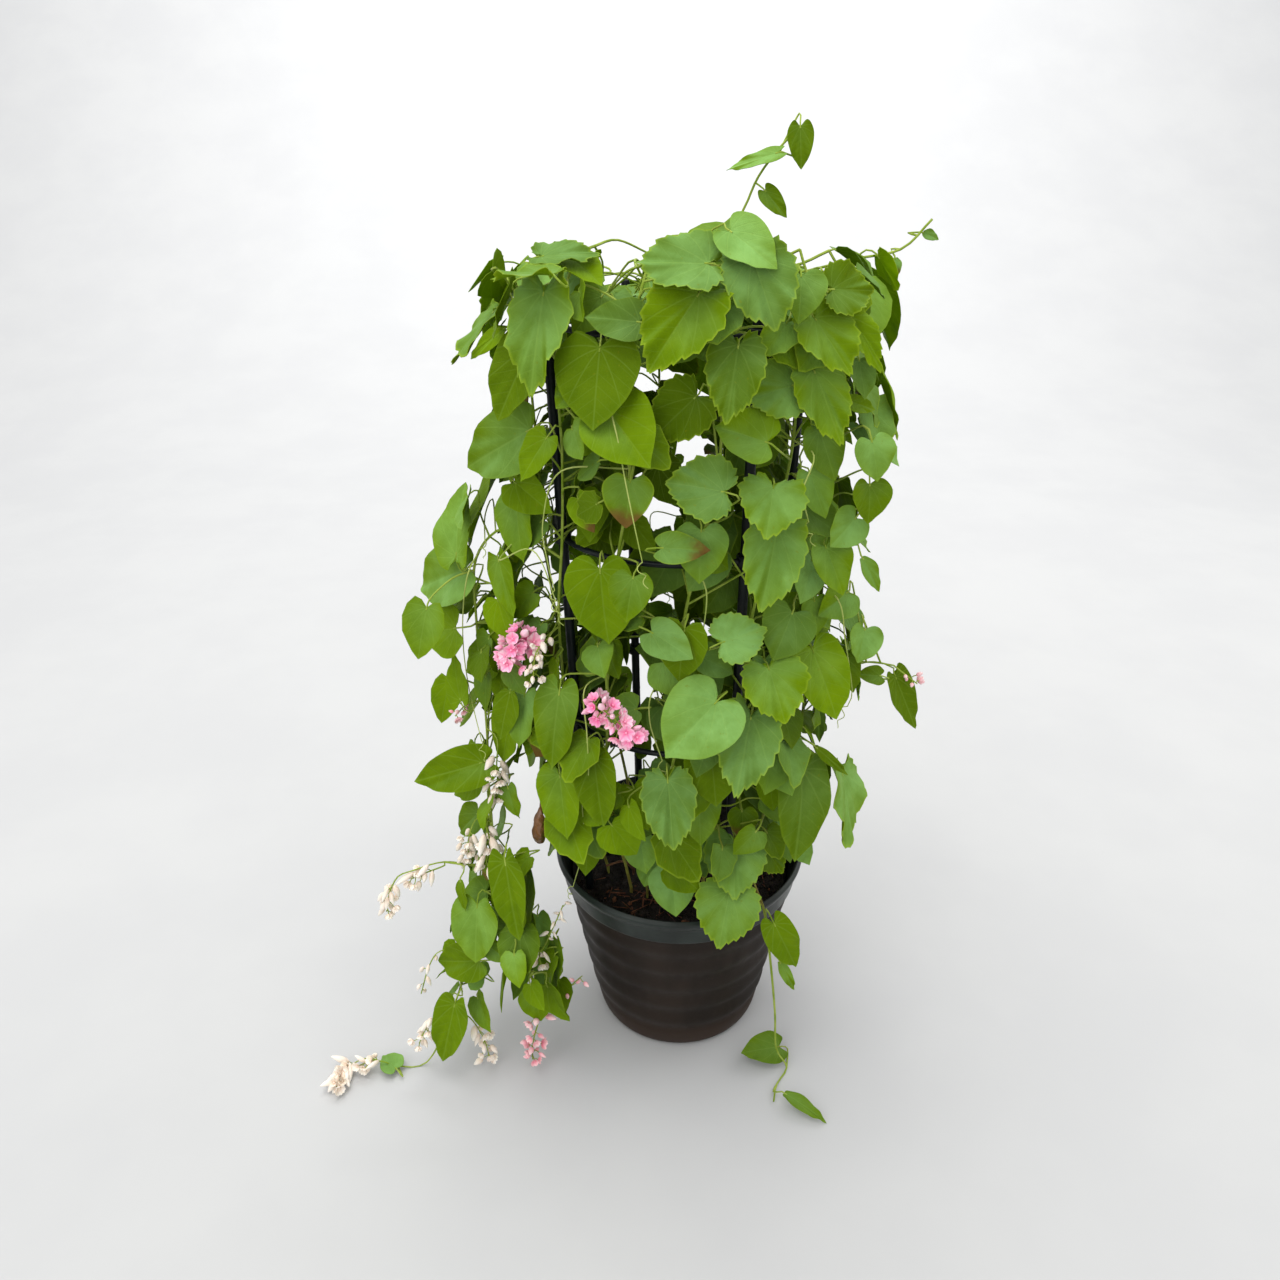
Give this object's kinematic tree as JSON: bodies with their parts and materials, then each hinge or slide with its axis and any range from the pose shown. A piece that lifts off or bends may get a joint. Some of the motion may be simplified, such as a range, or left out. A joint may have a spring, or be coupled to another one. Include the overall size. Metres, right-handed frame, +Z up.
{
  "type": "potted coral vine",
  "caption": "Potted flowering vine with heart-shaped leaves on a stake-and-ring trellis in a ribbed nursery pot.",
  "frame": {"origin": "middle of the flat underside of the pot, on the surface that the pot stands on", "axes": "+Z up, along the pot's axis; -Y towards the side with most leaves; +X to the right seen from there"},
  "size_m": [0.6222, 0.4183, 0.9599],
  "materials": {
    "pot_plastic": "satin",
    "soil": "matte",
    "trellis_plastic": "semi-gloss",
    "leaf": "matte",
    "old_stem": "matte",
    "pink_floret": "matte",
    "cream_bud": "matte"
  },
  "bodies": {
    "root": {"pot": "pot_plastic", "soil": "soil", "stake_a": "trellis_plastic", "stake_b": "trellis_plastic", "stake_c": "trellis_plastic", "stake_d": "trellis_plastic", "ring_top": "trellis_plastic", "ring_middle": "trellis_plastic", "ring_low": "trellis_plastic", "vine_left": "leaf", "vine_front_left": "leaf", "vine_front": "leaf", "vine_front_right": "leaf", "vine_right": "leaf", "vine_back_right": "leaf", "vine_back_a": "leaf", "vine_back_b": "leaf", "vine_back_left": "leaf", "vine_side_left": "leaf", "vine_trailing": "leaf", "sprout_a": "leaf", "sprout_b": "leaf", "sprout_c": "leaf", "blossom_left": "pink_floret", "blossom_front": "pink_floret", "buds_far_left": "pink_floret", "buds_right": "pink_floret", "blossom_floor": "pink_floret", "buds_white": "cream_bud", "spray_upper": "cream_bud", "spray_middle": "cream_bud", "spray_outer": "cream_bud", "spray_low": "cream_bud", "spray_floor": "cream_bud", "old_stem_right": "old_stem", "old_stem_front": "old_stem", "old_stem_left": "old_stem", "old_stem_back": "old_stem", "withered_leaf": "old_stem"}
  },
  "joints": []
}
